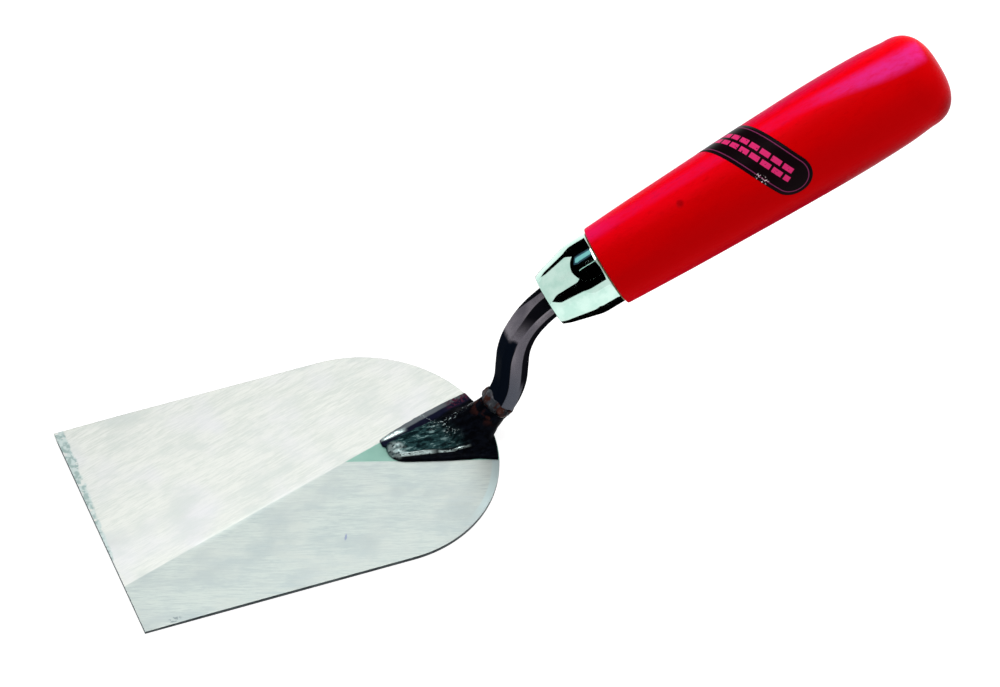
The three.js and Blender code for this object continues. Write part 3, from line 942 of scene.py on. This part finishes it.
def make_handle():
    tenon_radius = FERRULE_RADIUS - FERRULE_WALL - 0.05
    mouth_radius = FERRULE_FRONT_RADIUS - FERRULE_WALL - 0.05
    bore_end = TANG_TIP_ALONG + 1
    inner = [(bore_end, 0.05), (bore_end - 0.5, 2.4), (-17.5, 5.9), (FERRULE_FRONT + 1.5, 6.4),
             (FERRULE_FRONT + 1.5, mouth_radius + 0.2), (FERRULE_CONE_TO, tenon_radius),
             (HANDLE_FROM, tenon_radius), (HANDLE_FROM, BARREL[0][1] - 0.8),
             (HANDLE_FROM + 0.12, BARREL[0][1] - 0.4), (HANDLE_FROM + 0.4, BARREL[0][1] - 0.12)]
    first_outer = 7
    outer = []
    for i in range(110):
        along = BARREL[0][0] + (SHOULDER_FROM - BARREL[0][0]) * i / 110
        outer.append((along, barrel_radius(along)))
    for i in range(25):
        angle = math.pi / 2 * i / 24
        reach = math.sin(angle) ** (2 / SHOULDER_POWER)
        spread = max(math.cos(angle), 0) ** (2 / SHOULDER_POWER)
        outer.append((SHOULDER_FROM + (HANDLE_TO - SHOULDER_FROM) * reach, BARREL[-1][1] * spread))
    outer[-1:] = [(HANDLE_TO, 0.16), (HANDLE_TO, 0.05)]
    profile = inner + outer
    vertices, faces = turned(profile)
    count = len(profile)
    wavy = []
    for i, vertex in enumerate(vertices):
        if i % count >= first_outer + 3:
            offset = vertex - HANDLE_ORIGIN
            outward = (offset - HANDLE_AXIS * offset.dot(HANDLE_AXIS)).normalized()
            vertex = vertex - outward * wood_dip(vertex)
        wavy.append(vertex)
    handle = make_piece("handle_wood", wavy, faces, red_lacquer(), bare_wood())
    for polygon in handle.data.polygons:
        polygon.material_index = 1 if polygon.index % count < first_outer else 0
    return handle


# ---- Label ----


def label_material():
    """A black transfer with a thin border line, and two courses of bricks in place of any lettering."""
    length, gap, tall, soft = 4.6, 0.9, 1.9, 0.08  # the bricks' pitch, joints, height and soft edges
    s = Shader("label_film", IOR=1.08)
    uv = s.uv("label")
    run = LABEL_LENGTH - LABEL_WIDTH
    travel, across, _ = [s.product(part, 100.0) for part in s.split(uv)]
    beyond = s.highest(s.subtract(0.0, travel), s.subtract(travel, run), 0.0)
    radial = s.math("SQRT", s.add(s.product(beyond, beyond), s.product(across, across)))
    border = s.span(s.size(s.subtract(radial, LABEL_WIDTH / 2 - 1.35)), 0.22, 0.1, 0, 0.6)

    def course(row, shift):
        """One course of bricks, centred on a height across the label."""
        phase = s.node("ShaderNodeMath", ((0, s.add(travel, shift)), (1, length), (2, 0.0)),
                       operation="WRAP").outputs[0]
        middle = s.size(s.subtract(phase, length / 2))
        level = s.size(s.subtract(across, row))
        return s.product(s.span(middle, (length - gap) / 2 + soft, (length - gap) / 2 - soft),
                         s.span(level, tall / 2 + soft, tall / 2 - soft))

    courses = s.product(s.highest(course(1.5, 0.0), course(-1.5, 2.3)),
                        s.span(travel, -0.4, -0.2), s.span(travel, run + 0.4, run + 0.2))
    speckle = s.noise(s.position(), scale=1.4, detail=4)
    color = s.mix(border, (0.005, 0.002, 0.003), (0.30, 0.04, 0.14))
    color = s.mix(s.product(courses, s.span(speckle, 0.30, 0.38)), color, (0.66, 0.025, 0.15))

    # A few chips near the middle of one edge.
    place = s.offset(s.scaled(uv, (100, 100, 0)), (*LABEL_CHIPS, 0))
    near = s.span(s.length(s.scaled(place, (0.5, 1, 1))), 1.6, 0.8)
    color = s.mix(s.product(near, s.span(speckle, 0.55, 0.59)), color, (0.75, 0.62, 0.66))
    return s.finish(color, s.span(courses, 0.0, 1.0, 0.28, 0.36), 0.0)


def make_label():
    """A pill of thin film laid round the handle, on a slant."""
    half_width = LABEL_WIDTH / 2
    run = LABEL_LENGTH - LABEL_WIDTH
    stations, across_count = 120, 14
    mean_radius = barrel_radius(LABEL_ALONG)
    vertices, uvs = [], []
    for i in range(stations + 1):
        turn = math.pi * i / stations
        travel = run / 2 - (run / 2 + half_width) * math.cos(turn)
        beyond = max(-travel, travel - run, 0.0)
        half = math.sqrt(max(half_width ** 2 - beyond ** 2, 0.0))
        for k in range(across_count + 1):
            offset = half * (2 * k / across_count - 1)
            along = LABEL_ALONG - travel * math.sin(LABEL_TILT) + offset * math.cos(LABEL_TILT)
            round_about = travel * math.cos(LABEL_TILT) + offset * math.sin(LABEL_TILT)
            angle = LABEL_ANGLE - round_about / mean_radius
            point = on_handle(along, angle, barrel_radius(along))
            vertices.append(on_handle(along, angle, barrel_radius(along) - wood_dip(point) + 0.06))
            uvs.append((travel / 100, offset / 100))
    label = make_piece("label_print", vertices, grid_faces(stations, across_count), label_material())
    layer = label.data.uv_layers.new(name="label")
    for loop in label.data.loops:
        layer.data[loop.index].uv = uvs[loop.vertex_index]
    film = label.modifiers.new("film", "SOLIDIFY")
    film.thickness = 0.05 * MM
    film.offset = -1
    apply_modifiers(label)
    return label


# ---- Stage: floor, lights and camera ----

CAMERA_FROM = (-25.62, 49.01)  # azimuth and elevation in degrees
CAMERA_ROLL = math.radians(4.95)
CAMERA_DISTANCE = 2.25
CAMERA_TARGET = Vector((139.0, -4.4, 48.8))
CAMERA_LENS = 244.0
FERRULE_MIDDLE = Vector((166.0, 0, 62.5))
FLOOR_GLOW = 0.82

# Black flags round the set: the corners of each, as azimuth and elevation in degrees seen from the
# ferrule. They shade the side towards the camera and give the chrome its dark bands.
FLAGS = (
    ((-184, -11), (-153, -11), (-147, 26), (-182, 26)),
    ((-182, 26), (-147, 26), (-147, 52), (-182, 52)),
    ((-147, 33), (-60, 33), (-60, 61), (-147, 61)),
    ((-60, 34), (-5, 34), (-5, 64), (-60, 64)),
    ((-60, 2), (-37, 2), (-37, 34), (-60, 34)),
    ((-37, 2), (-12, 16), (-5, 34), (-37, 34)),
)
# Pale cards in front of the flags: a window and a slit, which the chrome picks up as small lights.
WINDOWS = (
    ("window_dim", 0.86, ((-148, 42), (-114, 44), (-112, 57), (-148, 55)), (0.01, 0.055, 0.11)),
    ("window", 0.80, ((-142, 46), (-122, 48), (-120, 55), (-142, 53)), (0.30, 0.66, 0.74)),
    ("slit", 0.86, ((-79.5, 52), (-76, 52), (-76, 62), (-79.5, 62)), (0.75, 1.0, 0.95)),
)
# A black card on the floor, below and behind the handle, in the tool's millimetres.
FLOOR_FLAG = ((166, -22), (184, -60), (300, -60), (300, 90), (118, 90), (118, 44), (148, 24), (150, 4))


def put(name, data, place, turn):
    obj = bpy.data.objects.new(name, data)
    obj.location = place
    obj.rotation_mode = "QUATERNION"
    obj.rotation_quaternion = turn
    bpy.context.collection.objects.link(obj)
    return obj


def direction(azimuth, elevation):
    """A unit vector towards an azimuth and elevation in degrees, counted as for the camera."""
    a, e = math.radians(azimuth), math.radians(elevation)
    return Vector((math.sin(a) * math.cos(e), -math.cos(a) * math.cos(e), math.sin(e)))


def matte(name, color):
    return Shader(name, Roughness=1.0, Specular_IOR_Level=0.0).finish((*color, 1))


def floor_white():
    """A plain white table that glows a little, so that it takes hardly any shadow."""
    s = Shader("floor_white", Roughness=1.0, Specular_IOR_Level=0.0,
               Emission_Color=(1, 1, 1, 1), Emission_Strength=FLOOR_GLOW)
    return s.finish((0.42, 0.423, 0.423, 1))


def glowing(name, color):
    return Shader(name, Emission_Color=(*color, 1), Emission_Strength=1.0).finish((0, 0, 0, 1))


def stage_mesh(name, vertices, faces, material):
    """A floor or card outside the object, from points in the frame's metres."""
    obj = new_object(name, vertices, faces, material)
    return obj


def make_floor():
    reach, level = 15, -0.0002
    corners = [(reach * x, reach * y, level) for x, y in ((-1, -1), (1, -1), (1, 1), (-1, 1))]
    stage_mesh("floor", corners, [(0, 1, 2, 3)], floor_white())


def make_flags():
    """Curved black cards that the camera doesn't see."""
    black = matte("flag_black", (0, 0, 0))
    centre, radius, steps = tool(FERRULE_MIDDLE), 0.9, 10
    for i, corners in enumerate(FLAGS):
        low_left, low_right, high_right, high_left = [Vector(corner) for corner in corners]
        points = []
        for j in range(steps + 1):
            for k in range(steps + 1):
                low = low_left.lerp(low_right, j / steps)
                azimuth, elevation = low.lerp(high_left.lerp(high_right, j / steps), k / steps)
                points.append(centre + direction(azimuth, elevation) * radius)
        card = stage_mesh(f"flag_{i}", points, grid_faces(steps, steps), black)
        card.visible_camera = False
    for name, nearness, corners, tint in WINDOWS:
        points = [centre + direction(*corner) * nearness for corner in corners]
        card = stage_mesh(name, points, [(0, 1, 2, 3)], glowing(name, tint))
        card.visible_camera = False
    points = [tool((x, y, 0)) + Vector((0, 0, 0.00005)) for x, y in FLOOR_FLAG]
    card = stage_mesh("flag_floor", points, [tuple(range(len(points)))], black)
    card.visible_camera = False
    card.visible_diffuse = False
    card.visible_shadow = False


def softbox(name, place, size, radiance):
    light = bpy.data.lights.new(name, "AREA")
    light.shape = "RECTANGLE"
    light.size, light.size_y = size
    light.energy = radiance * math.pi * size[0] * size[1]
    put(name, light, place, (Vector((0, 0, 0.03)) - place).to_track_quat("-Z", "Y"))


def make_light():
    """A white room, brightest round the horizon, and one large softbox above and behind the tool."""
    world = bpy.data.worlds.new("studio")
    bpy.context.scene.world = world
    world.use_nodes = True
    tree = world.node_tree
    height = tree.nodes.new("ShaderNodeSeparateXYZ")
    tree.links.new(tree.nodes.new("ShaderNodeTexCoord").outputs["Generated"], height.inputs[0])
    fade = tree.nodes.new("ShaderNodeMapRange")
    tree.links.new(height.outputs["Z"], fade.inputs["Value"])
    for name, number in (("From Min", 0.5), ("From Max", 0.8), ("To Min", 1.0), ("To Max", 0.65)):
        fade.inputs[name].default_value = number
    tree.links.new(fade.outputs[0], tree.nodes["Background"].inputs["Strength"])
    tree.nodes["Background"].inputs["Color"].default_value = (1, 1, 1, 1)
    softbox("key_box", direction(-170, 74) * 1.5, (1.5, 0.9), 4.0)


def make_camera():
    data = bpy.data.cameras.new("camera")
    data.lens = CAMERA_LENS
    data.sensor_width = 36
    data.clip_end = 50
    back = direction(*CAMERA_FROM)
    roll = Matrix.Rotation(CAMERA_ROLL, 4, "Z").to_quaternion()
    bpy.context.scene.camera = put("camera", data, tool(CAMERA_TARGET) + back * CAMERA_DISTANCE,
                                   (-back).to_track_quat("-Z", "Y") @ roll)
    bpy.context.scene.view_settings.view_transform = "Standard"


# ---- Assembly ----

make_camera()
make_light()
make_floor()
make_flags()
PIECES = (
    (make_blade, "blade", "blade_steel"),
    (make_foot, "foot", "black_forging"),
    (make_weld, "weld_bead", "weld_metal"),
    (make_neck, "neck", "neck_steel"),
    (make_ferrule, "ferrule", "ferrule_chrome"),
    (make_handle, "handle", "red_wood"),
    (make_label, "label", "label_film"),
)
for build, node, slot in PIECES:
    piece = build()
    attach(piece, "root")
    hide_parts(node)
